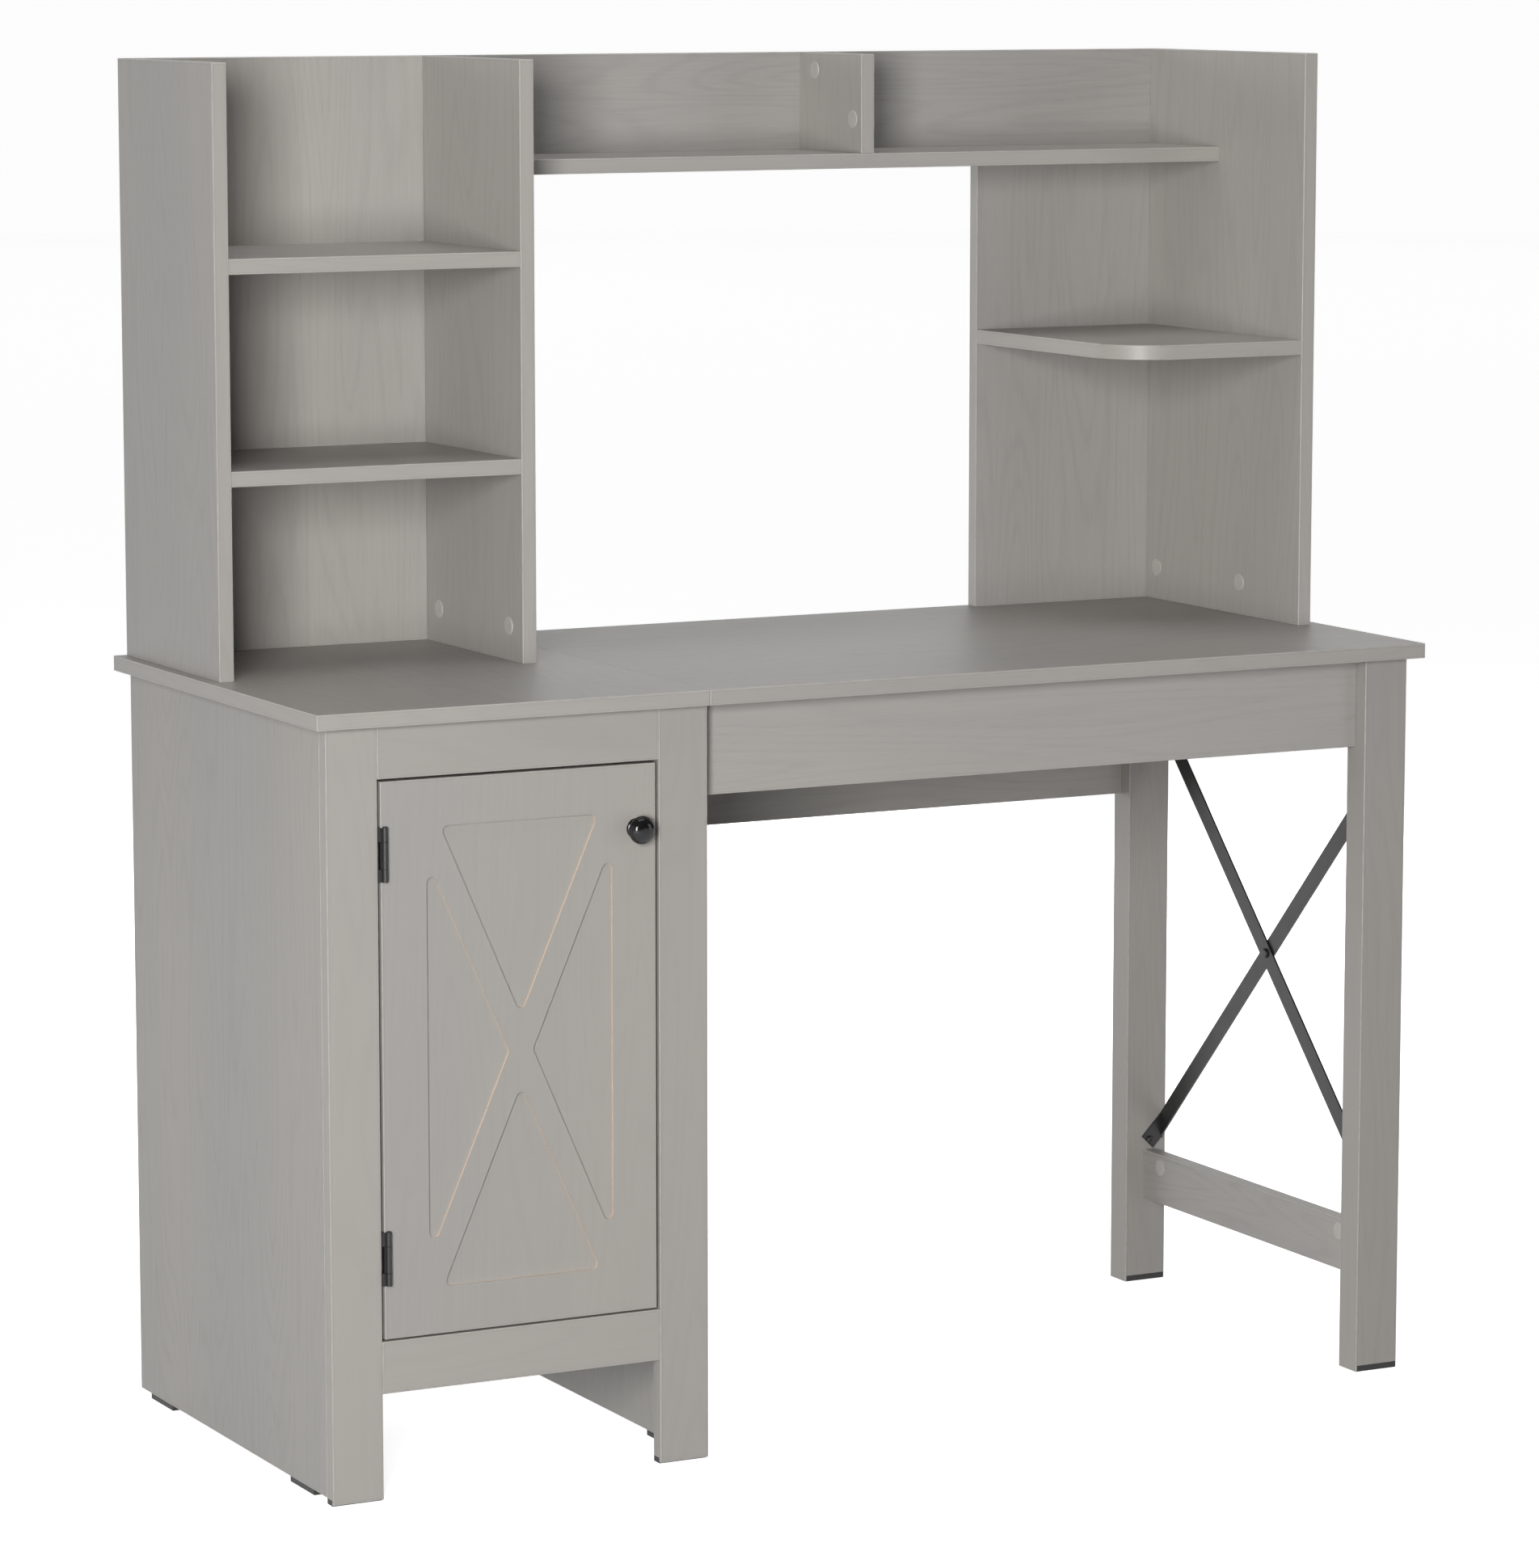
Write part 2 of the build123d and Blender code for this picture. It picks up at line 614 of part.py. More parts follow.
cross_y = (leg_front_back + leg_rear_front) / 2
cross_z = (bar_high + bar_low) / 2
with BuildPart() as brace_bolt:
    with BuildSketch(Plane.YZ.offset(bar_x - bar_thick)) as head:
        with Locations((cross_y, cross_z)):
            Circle(5)
    extrude(head.sketch, amount=-2.6)
    fillet(edges().filter_by(GeomType.CIRCLE).sort_by(Axis.X)[0], 1.4)
    with BuildSketch(Plane.YZ.offset(bar_x - bar_thick)) as shank:
        with Locations((cross_y, cross_z)):
            Circle(2.5)
    extrude(shank.sketch, amount=10)
save(brace_bolt, "brace_bolt")

with BuildPart() as brace_nut:
    with BuildSketch(Plane.YZ.offset(bar_x + bar_thick)) as hexagon:
        with Locations((cross_y, cross_z)):
            RegularPolygon(4.6, 6)
            Circle(2.55, mode=Mode.SUBTRACT)
    extrude(hexagon.sketch, amount=4)
save(brace_nut, "brace_nut")

with BuildPart() as tab_screw:
    with BuildSketch(Plane.XY) as head:
        Circle(4.2)
    extrude(head.sketch, amount=2.2)
    fillet(edges().filter_by(GeomType.CIRCLE).sort_by(Axis.Z)[-1], 1.2)
    with BuildSketch(Plane.XY) as shank:
        Circle(1.7)
    extrude(shank.sketch, amount=-20)
    block(-2.2, 2.2, -0.4, 0.4, 1.3, 2.3, Mode.SUBTRACT)
    block(-0.4, 0.4, -2.2, 2.2, 1.3, 2.3, Mode.SUBTRACT)
save_copies(tab_screw, [Plane(origin=at - into * bar_thick, x_dir=(1, 0, 0), z_dir=-into)
                        for at, into in brace_spots], "brace_screws")

# ---- hutch ----
for name, x0, y0 in (("hutch_side_left", tower_left, tower_front),
                     ("hutch_partition", part_left, tower_front),
                     ("hutch_side_right", side_right_in, corner_front)):
    plain_board(name, x0, x0 + board, y0, hutch_back, desk_height, hutch_top)
plain_board("hutch_tower_back", tower_left + board, part_left, panel_back, hutch_back,
            desk_height, hutch_top)
for name, lift in (("hutch_shelf_lower", shelf_lifts[0]), ("hutch_shelf_upper", shelf_lifts[1])):
    plain_board(name, tower_left + board, part_left, tower_front + 1, panel_back,
                desk_height + lift, desk_height + lift + board)
plain_board("hutch_bridge_shelf", part_right, side_right_in, bridge_front, panel_back,
            bridge_z, bridge_z + board)
plain_board("hutch_bridge_back", part_right, side_right_in, panel_back, hutch_back, bridge_z, hutch_top)
plain_board("hutch_divider", divider_x, divider_x + board, bridge_front + 4, panel_back,
            bridge_z + board, hutch_top)
plain_board("hutch_right_back", corner_left, side_right_in, panel_back, hutch_back, desk_height, bridge_z)

with BuildPart() as hutch_corner_shelf:
    block(corner_left, side_right_in, corner_front, panel_back, corner_z, corner_z + board)
    corner_edge = edges().filter_by(Axis.Z).sort_by(Axis.X)[:2].sort_by(Axis.Y)[0]
    fillet(corner_edge, corner_radius)
    chamfer(edges().group_by(Axis.Z)[-1] + edges().group_by(Axis.Z)[0], arris)
    drill(corner_left, side_right_in, corner_front, panel_back, corner_z, corner_z + board)
save(hutch_corner_shelf, "hutch_corner_shelf")

# ---- cam locks, bolts, cover caps and dowels: one solid each, one node per kind ----
cam_places = [Plane(origin=at, x_dir=towards, z_dir=out) for at, out, towards in cams]
short_places = []
long_places = []
for place, (at, out, towards) in zip(cam_places, cams):
    if inset_of(at, towards) == cam_inset:
        short_places.append(place)
    else:
        long_places.append(place)

with BuildPart() as cam_lock:
    with BuildSketch(Plane.XY.offset(-cam_pocket_depth)) as body:
        Circle(cam_radius)
    extrude(body.sketch, amount=9.6)
    bore(Vector(-1.5, 0, -mid), X, 3.3, 10)
    block(-4, 4, -0.6, 0.6, -3.6, -2, Mode.SUBTRACT)
    block(-0.6, 0.6, -4, 4, -3.6, -2, Mode.SUBTRACT)
save_copies(cam_lock, cam_places, "cam_locks")

with BuildPart() as cam_cap:
    with BuildSketch(Plane.XY) as disc:
        Circle(9)
    extrude(disc.sketch, amount=1.1)
    fillet(edges().filter_by(GeomType.CIRCLE).sort_by(Axis.Z)[-1], 0.7)
    with BuildSketch(Plane.XY) as plug:
        Circle(7.2)
    extrude(plug.sketch, amount=-1.8)
save_copies(cam_cap, cam_places, "cam_cover_caps")


def cam_bolt(length):
    """Thread, shank, groove and head of one cam bolt, lying along local X."""
    profile = [(-1, 0), (-1, 2.9), (1.8, 2.9), (1.8, 1.9), (4.6, 1.9), (4.6, 3),
               (length, 3), (length, 2.5), (length + 10.5, 2.5), (length + 10.5, 0)]
    with BuildSketch(Plane.XY.offset(-mid)) as outline:
        with BuildLine():
            Polyline(*profile, close=True)
        make_face()
    revolve(outline.sketch, axis=Axis((0, 0, -mid), (1, 0, 0)))


with BuildPart() as bolt_short:
    cam_bolt(cam_inset)
with BuildPart() as bolt_long:
    cam_bolt(cam_inset + 2)
bolts = [s for p in short_places for s in bolt_short.part.moved(p.location).solids()]
bolts += [s for p in long_places for s in bolt_long.part.moved(p.location).solids()]
bolt_group = Compound(bolts)
bolt_group.label = "cam_bolts"
export_step(bolt_group, "parts/cam_bolts.step")

dowel_solids = []
for at, into, shallow, deep in dowels:
    with BuildPart() as peg:
        with BuildSketch(Plane.XY.offset(-deep)) as end:
            Circle(dowel_radius - 0.05)
        extrude(end.sketch, amount=shallow + deep)
        chamfer(edges().filter_by(GeomType.CIRCLE), 0.8)
    dowel_solids += peg.part.moved(Plane(origin=at, z_dir=into).location).solids()
dowel_group = Compound(dowel_solids)
dowel_group.label = "wood_dowels"
export_step(dowel_group, "parts/wood_dowels.step")

with BuildPart() as shelf_pin:
    with BuildSketch(Plane.XY) as stem:
        Circle(pin_radius - 0.05)
    extrude(stem.sketch, amount=-8.5)
    with BuildSketch(Plane.XY) as collar:
        Circle(4)
    extrude(collar.sketch, amount=1)
    with BuildSketch(Plane.XY.offset(1)) as nose:
        Circle(pin_radius)
    extrude(nose.sketch, amount=6)
save_copies(shelf_pin, [Plane(origin=at, z_dir=-into) for at, into in pin_spots
                        if abs(at.Z - pin_rows[1]) < 1], "shelf_pins")
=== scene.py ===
import json
import math

import bmesh
import bpy
from mathutils import Matrix, Vector


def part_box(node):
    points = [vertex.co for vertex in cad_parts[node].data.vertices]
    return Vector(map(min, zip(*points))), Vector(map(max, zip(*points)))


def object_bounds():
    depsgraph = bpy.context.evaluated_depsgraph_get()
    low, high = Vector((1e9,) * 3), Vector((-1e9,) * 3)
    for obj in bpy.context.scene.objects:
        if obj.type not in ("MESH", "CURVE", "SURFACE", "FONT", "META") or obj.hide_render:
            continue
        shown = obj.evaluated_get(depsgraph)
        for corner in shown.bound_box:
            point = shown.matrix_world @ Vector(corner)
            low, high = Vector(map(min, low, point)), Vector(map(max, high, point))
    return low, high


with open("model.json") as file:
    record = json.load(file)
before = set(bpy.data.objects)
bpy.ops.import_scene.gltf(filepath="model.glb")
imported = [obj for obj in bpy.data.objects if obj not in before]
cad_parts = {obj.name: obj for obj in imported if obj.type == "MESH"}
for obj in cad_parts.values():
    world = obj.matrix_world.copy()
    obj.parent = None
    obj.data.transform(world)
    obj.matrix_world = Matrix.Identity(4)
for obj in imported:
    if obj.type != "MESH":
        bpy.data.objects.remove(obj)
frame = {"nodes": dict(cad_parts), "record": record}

cad_low, cad_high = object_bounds()
nodes = frame["nodes"]

# Lengths are in metres, colours are linear RGB, and the scale of a texture is in cycles per metre.
X, Y, Z = 0, 1, 2
WHITE = (1.0, 1.0, 1.0)

# the boards: grey foil, a painted highlight along its edges, and the chips or fibres of the core
GREY = (0.356, 0.345, 0.331)
GREY_WARM = (0.374, 0.356, 0.333)
GREY_EDGE_HIGHLIGHT = (0.470, 0.455, 0.430)
CHIPBOARD = (0.40, 0.27, 0.16)
FIBREBOARD = (0.74, 0.57, 0.43)
CHIP_SCALE = {CHIPBOARD: 420.0, FIBREBOARD: 2600.0}
FOIL_THICK = 0.0004
CORE_FULL = 0.0008
BAND_THICK = 0.0019
BAND_LINE = 0.0004
# the painted edge highlight starts this far from an arris and is full this close to it
EDGE_HIGHLIGHT_FROM = 0.0016
EDGE_HIGHLIGHT_FULL = 0.0003

# the wood grain: scales along the grain and in the two directions across it, how much each part adds to
# the tone, and how each board's seed moves it through the wood and sets its batch apart
BROAD_GRAIN = (0.9, 4.0, 4.0)
RING_GRAIN = (1.5, 15.0, 15.0)
FIBRE_GRAIN = (14.0, 420.0, 420.0)
PORE_GRAIN = (46.0, 1500.0, 1500.0)
RING_COUNT = 17.0
BROAD_TONE = 0.12
RING_TONE = 0.045
FIBRE_TONE = 0.17
PORE_TONE = -0.11
SEED_STEP = (0.37, 1.13, 0.71)
BATCH_SPREAD = 0.012
BATCH_TURN = 2.4

# a face looks along an axis when its normal has more than this along it
FACING = 0.7


class Shade:
    """One node material, built a step at a time. Each step takes numbers or the outputs of other steps."""

    def __init__(self, name):
        self.material = bpy.data.materials.new(name)
        self.material.use_nodes = True
        self.tree = self.material.node_tree
        self.tree.nodes.clear()
        self.shader = self.tree.nodes.new("ShaderNodeBsdfPrincipled")
        out = self.tree.nodes.new("ShaderNodeOutputMaterial")
        self.tree.links.new(self.shader.outputs[0], out.inputs["Surface"])
        place = self.tree.nodes.new("ShaderNodeTexCoord")
        self.point = place.outputs["Object"]
        self.normal = place.outputs["Normal"]

    def plug(self, socket, value):
        if isinstance(value, bpy.types.NodeSocket):
            self.tree.links.new(value, socket)
        else:
            socket.default_value = value

    def calc(self, operation, *values):
        node = self.tree.nodes.new("ShaderNodeMath")
        node.operation = operation
        for socket, value in zip(node.inputs, values):
            self.plug(socket, value)
        return node.outputs[0]

    def line(self, value, gain, base):
        """The value times gain, plus base."""
        return self.calc("MULTIPLY_ADD", value, gain, base)

    def vector(self, operation, *values):
        node = self.tree.nodes.new("ShaderNodeVectorMath")
        node.operation = operation
        for socket, value in zip(node.inputs, values):
            self.plug(socket, value)
        return node.outputs[0]

    def scaled(self, vector, amount):
        node = self.tree.nodes.new("ShaderNodeVectorMath")
        node.operation = "SCALE"
        self.plug(node.inputs["Vector"], vector)
        self.plug(node.inputs["Scale"], amount)
        return node.outputs[0]

    def split(self, vector):
        node = self.tree.nodes.new("ShaderNodeSeparateXYZ")
        self.plug(node.inputs[0], vector)
        return list(node.outputs)

    def join(self, x, y, z):
        node = self.tree.nodes.new("ShaderNodeCombineXYZ")
        for socket, value in zip(node.inputs, (x, y, z)):
            self.plug(socket, value)
        return node.outputs[0]

    def noise(self, vector, scale=1.0, detail=2.0, rough=0.5, warp=0.0):
        node = self.tree.nodes.new("ShaderNodeTexNoise")
        self.plug(node.inputs["Vector"], vector)
        node.inputs["Scale"].default_value = scale
        node.inputs["Detail"].default_value = detail
        node.inputs["Roughness"].default_value = rough
        node.inputs["Distortion"].default_value = warp
        return node.outputs[0]

    def cells(self, vector, scale):
        node = self.tree.nodes.new("ShaderNodeTexVoronoi")
        self.plug(node.inputs["Vector"], vector)
        node.inputs["Scale"].default_value = scale
        return node.outputs["Color"]

    def ramp(self, value, low, high, to_low=0.0, to_high=1.0):
        """A smooth step from to_low to to_high as the value goes from low to high."""
        node = self.tree.nodes.new("ShaderNodeMapRange")
        node.interpolation_type = "SMOOTHSTEP"
        for socket, amount in zip(node.inputs, (value, low, high, to_low, to_high)):
            self.plug(socket, amount)
        return node.outputs[0]

    def mix(self, amount, a, b):
        node = self.tree.nodes.new("ShaderNodeMix")
        node.data_type = "VECTOR"
        self.plug(node.inputs[0], amount)
        self.plug(node.inputs[4], a)
        self.plug(node.inputs[5], b)
        return node.outputs[1]

    def bump(self, height, strength, depth):
        node = self.tree.nodes.new("ShaderNodeBump")
        node.inputs["Strength"].default_value = strength
        node.inputs["Distance"].default_value = depth
        self.plug(node.inputs["Height"], height)
        self.plug(self.shader.inputs["Normal"], node.outputs[0])

    def surface(self, colour, roughness):
        self.plug(self.shader.inputs["Base Color"], colour)
        self.plug(self.shader.inputs["Roughness"], roughness)

    def fixed(self, **sockets):
        """Constants of the shader, each named like its socket with _ for a space."""
        for name, value in sockets.items():
            self.shader.inputs[name.replace("_", " ")].default_value = value


def face_distances(s, low, high):
    """Distance from a point to the nearer face of the board's box along each axis."""
    found = []
    for axis, at in enumerate(s.split(s.point)):
        from_low = s.calc("SUBTRACT", at, low[axis])
        from_high = s.calc("SUBTRACT", high[axis], at)
        found.append(s.calc("MINIMUM", from_low, from_high))
    return found


def grain_run(s, size, grain, seed):
    """Place in the wood with the grain first; faces across the grain carry it along the board's width."""
    across = sorted((axis for axis in (X, Y, Z) if axis != grain), key=lambda axis: -size[axis])
    away = s.vector("ADD", s.point, [step * seed for step in SEED_STEP])
    at = s.split(away)
    along = s.join(at[grain], at[across[0]], at[across[1]])
    turned = s.join(at[across[0]], at[grain], at[across[1]])
    facing = s.calc("ABSOLUTE", s.split(s.normal)[grain])
    on_end = s.calc("GREATER_THAN", facing, FACING)
    return s.mix(on_end, along, turned)


def laminate(node, grain, seed, strength, depth, core, squared):
    """Wood-grain foil over board: streaks, figure and pores along the grain, edge band and raw core.

    strength is how clear the grain is, and depth is painted light and shade: the board drawn lighter or
    darker where the lamps light it more or less. A squared board fills its box, so what lies inside the
    box, such as the wall of a hole, is raw core.
    """
    s = Shade("laminate_" + node)
    low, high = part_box(node)
    size = high - low
    run = grain_run(s, size, grain, seed)

    broad = s.noise(s.vector("MULTIPLY", run, BROAD_GRAIN), detail=2.0)
    field = s.noise(s.vector("MULTIPLY", run, RING_GRAIN), detail=1.0, warp=0.25)
    rings = s.calc("PINGPONG", s.calc("MULTIPLY", field, RING_COUNT), 0.5)
    rings = s.ramp(rings, low=0.0, high=0.30)
    fibre = s.noise(s.vector("MULTIPLY", run, FIBRE_GRAIN), detail=3.0, rough=0.65)
    dashes = s.noise(s.vector("MULTIPLY", run, PORE_GRAIN), detail=2.0, rough=0.55)
    pores = s.ramp(dashes, low=0.56, high=0.70)
    gather = s.ramp(s.calc("ADD", rings, broad), low=1.15, high=0.55, to_low=0.35, to_high=1.0)
    pores = s.calc("MULTIPLY", pores, gather)

    # the edge band is plainer than the broad faces, and a little lighter
    thin = min((X, Y, Z), key=lambda axis: size[axis])
    on_band = s.calc("LESS_THAN", s.calc("ABSOLUTE", s.split(s.normal)[thin]), FACING)
    clear = s.line(on_band, gain=-0.5 * strength, base=strength)
    figure = s.calc("MULTIPLY", s.calc("SUBTRACT", broad, 0.5), BROAD_TONE)
    figure = s.line(s.calc("SUBTRACT", rings, 0.7), gain=RING_TONE, base=figure)
    figure = s.line(s.calc("SUBTRACT", fibre, 0.5), gain=FIBRE_TONE, base=figure)
    figure = s.line(pores, gain=PORE_TONE, base=figure)
    # each board's random tone, plus the painted light and shade carried in depth
    batch_and_painted_light_shade = depth + BATCH_SPREAD * math.sin(seed * BATCH_TURN)
    tone = s.line(figure, gain=clear, base=s.line(on_band, gain=0.015, base=batch_and_painted_light_shade))
    colour = s.scaled(s.mix(s.ramp(broad, low=0.35, high=0.65), GREY, GREY_WARM), tone)

    # a painted highlight along the arris, patchy, and the fine line where the band meets the foil
    near = face_distances(s, low, high)
    two_least = s.calc("MINIMUM", near[X], near[Y])
    two_most = s.calc("MAXIMUM", near[X], near[Y])
    to_face = s.calc("MINIMUM", two_least, near[Z])
    to_edge = s.calc("MAXIMUM", two_least, s.calc("MINIMUM", two_most, near[Z]))
    # one noise for the patches of the painted edge highlight and for the paint dust on fibre walls
    highlight_and_paint_mottle = s.noise(s.point, scale=90.0, detail=3.0)
    patchy_highlight = s.ramp(highlight_and_paint_mottle, low=0.30, high=0.62, to_low=0.25, to_high=0.75)
    edge_highlight = s.calc("MULTIPLY", s.ramp(to_edge, low=EDGE_HIGHLIGHT_FROM, high=EDGE_HIGHLIGHT_FULL), patchy_highlight)
    colour = s.mix(edge_highlight, colour, GREY_EDGE_HIGHLIGHT)
    from_line = s.calc("ABSOLUTE", s.calc("SUBTRACT", to_edge, BAND_THICK))
    band_line = s.ramp(from_line, low=BAND_LINE, high=0.0, to_low=0.0, to_high=0.16)
    colour = s.scaled(colour, s.calc("SUBTRACT", 1.0, band_line))

    rough = s.line(fibre, gain=0.14, base=0.36)
    rough = s.line(pores, gain=0.12, base=rough)
    height = s.line(pores, gain=-0.9, base=s.calc("MULTIPLY", fibre, 0.5))
    height = s.calc("MULTIPLY", height, clear)
    if squared:
        inner = s.ramp(to_face, low=FOIL_THICK, high=CORE_FULL)
        chips = s.split(s.cells(s.point, CHIP_SCALE[core]))[0]
        raw = s.scaled(core, s.line(chips, gain=0.5, base=0.72))
        if core == FIBREBOARD:
            # a milled recess shows its fibres on the walls only, lightly dusted with paint
            raw = s.mix(s.calc("MULTIPLY", highlight_and_paint_mottle, 0.35), raw, GREY)
            inner = s.calc("MULTIPLY", inner, on_band)
        colour = s.mix(inner, colour, raw)
        rough = s.line(inner, gain=0.3, base=rough)
        height = s.line(s.calc("MULTIPLY", inner, chips), gain=0.8, base=height)
    s.surface(colour, rough)
    s.bump(height, strength=0.35, depth=0.0002)
    s.fixed(IOR=1.48)
    return s.material


def hardboard():
    """Thin back: printed grey in front, brown fibre board behind."""
    s = Shade("hardboard")
    bare = (0.265, 0.175, 0.105)
    stretched = s.vector("MULTIPLY", s.point, (1.0, 1.0, 0.55))
    fibres = s.noise(stretched, scale=420.0, detail=4.0, rough=0.7, warp=1.2)
    patches = s.noise(s.point, scale=5.0, detail=2.0)
    behind = s.ramp(s.split(s.normal)[Y], low=0.3, high=0.6)
    brown = s.scaled(bare, s.line(fibres, gain=0.75, base=0.62))
    printed = s.scaled(GREY, s.line(fibres, gain=0.10, base=0.93))
    colour = s.mix(behind, printed, brown)
    colour = s.scaled(colour, s.line(patches, gain=0.16, base=0.92))
    s.surface(colour, s.line(fibres, gain=0.22, base=0.52))
    s.bump(fibres, strength=0.45, depth=0.0003)
    return s.material


def painted_metal():
    """Black powder coat: fine orange peel, dull scuffs and a little dust."""
    s = Shade("black_metal")
    black = (0.0085, 0.0085, 0.0090)
    scuffed = (0.040, 0.040, 0.041)
    peel = s.noise(s.point, scale=1300.0, detail=2.0)
    scuffs = s.noise(s.vector("MULTIPLY", s.point, (60.0, 700.0, 240.0)), detail=3.0, rough=0.7)
    marks = s.ramp(scuffs, low=0.60, high=0.74)
    dust = s.noise(s.point, scale=45.0, detail=4.0, rough=0.65)
    colour = s.scaled(black, s.line(dust, gain=0.8, base=0.7))
    colour = s.mix(s.calc("MULTIPLY", marks, 0.30), colour, scuffed)
    rough = s.line(dust, gain=0.18, base=0.30)
    s.surface(colour, s.line(marks, gain=0.15, base=rough))
    s.bump(peel, strength=0.22, depth=0.00012)
    return s.material


def lacquer():
    """Gloss black lacquer on the turned knob."""
    s = Shade("knob_lacquer")
    black = (0.006, 0.006, 0.0065)
    speck = (0.10, 0.10, 0.095)
    haze = s.noise(s.point, scale=110.0, detail=4.0, rough=0.6)
    specks = s.ramp(s.noise(s.point, scale=1800.0, detail=1.0), low=0.70, high=0.78)
    colour = s.scaled(black, s.line(haze, gain=0.9, base=0.6))
    colour = s.mix(s.calc("MULTIPLY", specks, 0.10), colour, speck)
    s.surface(colour, s.line(haze, gain=0.10, base=0.10))
    s.bump(haze, strength=0.05, depth=0.0002)
    s.fixed(Specular_IOR_Level=0.30, Coat_Weight=0.20, Coat_Roughness=0.05)
    return s.material


def metal(name, colour, dull, rough, grainy):
    """Bare zinc: plated steel when smooth, a casting when grainy."""
    s = Shade(name)
    pit = (0.16, 0.16, 0.165)
    grain = s.noise(s.point, scale=grainy, detail=4.0, rough=0.65)
    clouds = s.noise(s.point, scale=160.0, detail=2.0)
    pits = s.ramp(s.noise(s.point, scale=grainy * 1.7, detail=1.0), low=0.66, high=0.76)
    shade = s.line(clouds, gain=0.30, base=0.80)
    tint = s.scaled(s.mix(clouds, colour, dull), shade)
    pitted = s.mix(s.calc("MULTIPLY", pits, 0.5), tint, pit)
    s.surface(pitted, s.line(grain, gain=0.25, base=rough))
    s.bump(s.calc("SUBTRACT", grain, pits), strength=0.25, depth=0.0002)
    s.fixed(Metallic=1.0)
    return s.material


def moulded(name, colour, rough, spark):
    """Moulded plastic with a fine eroded texture and faint flow marks."""
    s = Shade(name)
    texture = s.noise(s.point, scale=spark, detail=3.0, rough=0.6)
    flow = s.noise(s.point, scale=75.0, detail=2.0, warp=1.5)
    marked = s.scaled(colour, s.line(flow, gain=0.22, base=0.89))
    s.surface(marked, s.line(texture, gain=0.20, base=rough))
    s.bump(texture, strength=0.30, depth=0.00015)
    return s.material


def raw_beech():
    """Beech dowel: pale pink-brown with short dark rays."""
    s = Shade("beech")
    pale = (0.58, 0.41, 0.26)
    ray = (0.33, 0.20, 0.11)
    rays = s.ramp(s.noise(s.point, scale=900.0, detail=2.0), low=0.58, high=0.68)
    bands = s.noise(s.point, scale=260.0, detail=3.0, rough=0.6)
    colour = s.scaled(pale, s.line(bands, gain=0.35, base=0.82))
    colour = s.mix(s.calc("MULTIPLY", rays, 0.6), colour, ray)
    s.surface(colour, s.line(bands, gain=0.15, base=0.60))
    s.bump(bands, strength=0.35, depth=0.0002)
    return s.material


# ---- one laminate per board: the axis its grain runs along, how clear it is, and its painted light and shade ----
GRAIN = {
    "desktop_left": Y, "desktop_right": X,
    "cabinet_side_left": Z, "cabinet_side_right": Z,
    "cabinet_floor": X, "cabinet_top_stretcher": X, "cabinet_shelf": X,
    "stile_left": Z, "stile_right": Z, "rail_top": X, "rail_bottom": X, "door_panel": Z,
    "front_apron": X, "rear_rail": X, "leg_front": Z, "leg_rear": Z, "leg_stretcher": Y,
    "hutch_side_left": Z, "hutch_partition": Z, "hutch_side_right": Z,
    "hutch_tower_back": Z, "hutch_shelf_lower": X, "hutch_shelf_upper": X,
    "hutch_bridge_shelf": X, "hutch_bridge_back": X, "hutch_divider": Z,
    "hutch_right_back": Z, "hutch_corner_shelf": X,
}
CLEARNESS = {
    "stile_left": 0.4, "stile_right": 0.4, "rail_top": 0.4, "rail_bottom": 0.4, "door_panel": 0.35,
    "leg_front": 0.6, "leg_rear": 0.6, "front_apron": 0.8,
}
# painted light and shade: each of these boards is drawn lighter or darker where the lamps light it more or
# less
PAINTED_LIGHT_SHADE = {
    "leg_front": 0.90, "leg_rear": 0.88, "front_apron": 1.07, "cabinet_side_left": 0.95,
    "hutch_side_left": 0.97, "hutch_tower_back": 1.06, "hutch_right_back": 1.07,
}


def give(piece, material):
    """Make this the piece's only material."""
    nodes[piece].data.materials.clear()
    nodes[piece].data.materials.append(material)


for seed, (board, grain) in enumerate(sorted(GRAIN.items()), 1):
    core = FIBREBOARD if board == "door_panel" else CHIPBOARD
    squared = board != "hutch_corner_shelf"
    strength, depth = CLEARNESS.get(board, 1.0), PAINTED_LIGHT_SHADE.get(board, 1.0)
    give(board, laminate(board, grain, seed, strength, depth, core, squared))

# ---- one finish for each of the record's other material slots ----
finishes = {
    "hardboard": hardboard(),
    "black_metal": painted_metal(),
    "knob_lacquer": lacquer(),
    "zinc_steel": metal(
        "zinc_steel", colour=(0.66, 0.67, 0.69), dull=(0.60, 0.59, 0.52), rough=0.20, grainy=900.0),
    "zinc_casting": metal(
        "zinc_casting", colour=(0.50, 0.51, 0.53), dull=(0.42, 0.42, 0.43), rough=0.38, grainy=700.0),
    "cap_plastic": moulded("cap_plastic", colour=(0.455, 0.440, 0.415), rough=0.34, spark=1500.0),
    "black_plastic": moulded("black_plastic", colour=(0.018, 0.018, 0.019), rough=0.48, spark=1200.0),
    "ferrite": moulded("ferrite", colour=(0.055, 0.055, 0.060), rough=0.55, spark=2400.0),
    "beech": raw_beech(),
}
for part in frame["record"]["subparts"]:
    if part["node"] not in GRAIN:
        give(part["node"], finishes[part["material_slot"]])

# ---- a round floor and backdrop, plain and glowing: seen and mirrored, but casting no diffuse light ----
FLOOR_RADIUS = 24.0
WALL_HEIGHT = 16.0
HALF_STEPS = 48


def glowing(name, albedo, glow):
    s = Shade(name)
    mottle = s.noise(s.point, scale=3.0, detail=3.0)
    colour = s.scaled((albedo, albedo, albedo), s.line(mottle, gain=0.03, base=0.985))
    s.surface(colour, roughness=0.8)
    s.fixed(Specular_IOR_Level=0.1, Emission_Color=(1.0, 1.0, 1.0, 1.0), Emission_Strength=glow)
    return s.material


